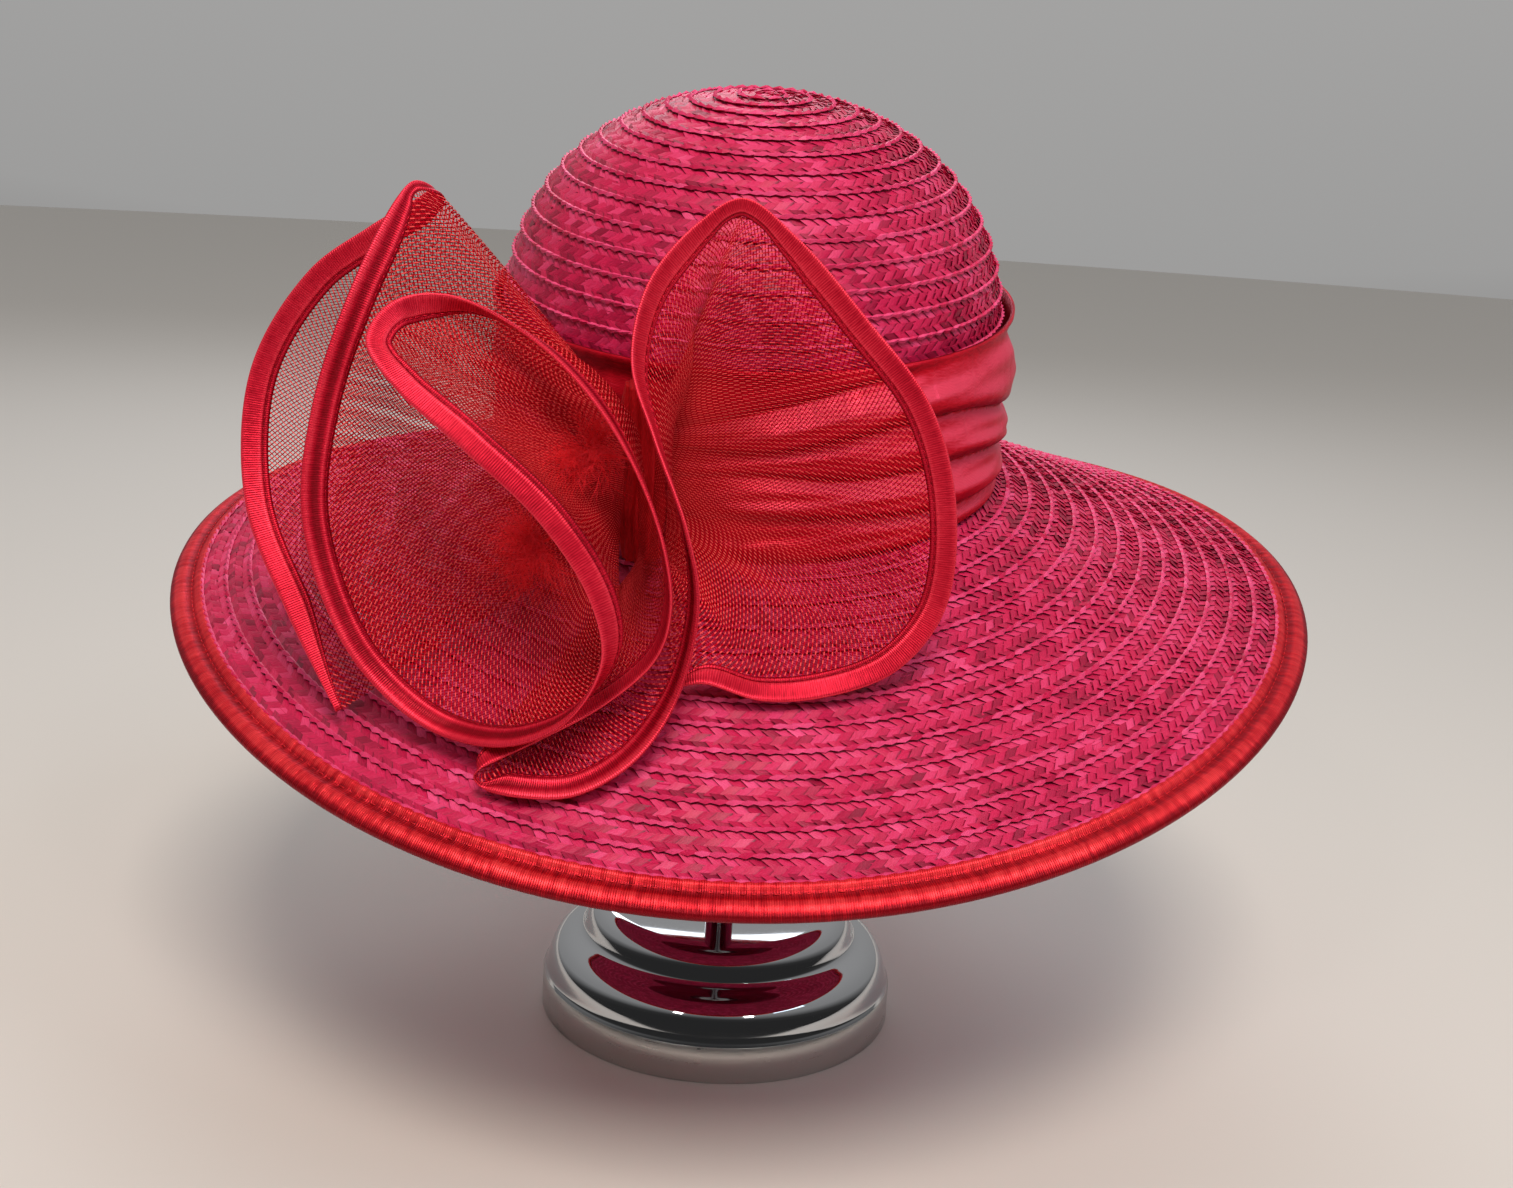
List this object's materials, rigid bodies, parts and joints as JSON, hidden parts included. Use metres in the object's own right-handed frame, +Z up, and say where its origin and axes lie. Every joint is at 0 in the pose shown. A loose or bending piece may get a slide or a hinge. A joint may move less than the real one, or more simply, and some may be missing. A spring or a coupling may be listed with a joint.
{
  "type": "wide-brim straw hat on a display stand",
  "caption": "Wide-brim hat of sewn straw plait with a domed crown, pleated satin band, looped net trimming and feathers, held on a plain round-foot stand.",
  "frame": {"origin": "centre of the underside of the stand's round foot", "axes": "+Z up, the wearer's front towards -Y, the trimming on the -X side of the front"},
  "size_m": [0.4258, 0.418, 0.3579],
  "materials": {
    "straw": "dyed straw plait with a light lacquer",
    "satin": "satin bias tape",
    "band_satin": "pleated satin",
    "net": "open woven net",
    "feather": "dyed down",
    "metal": "polished plating, the foot's rim brushed"
  },
  "bodies": {
    "root": {"stand_base": "metal", "stand_post": "metal", "stand_cap": "metal", "crown": "straw", "brim": "straw", "brim_binding": "satin", "hat_band": "band_satin", "gather": "net", "net_tall_petal_rear": "net", "edge_tall_petal_rear": "satin", "net_tall_petal_front": "net", "edge_tall_petal_front": "satin", "net_cup": "net", "edge_cup": "satin", "net_funnel": "net", "edge_funnel": "satin", "net_lower_fold": "net", "edge_lower_fold": "satin", "net_right_loop": "net", "edge_right_loop": "satin", "feather_tuft_lower": "feather", "feather_tuft_upper": "feather"}
  },
  "joints": []
}
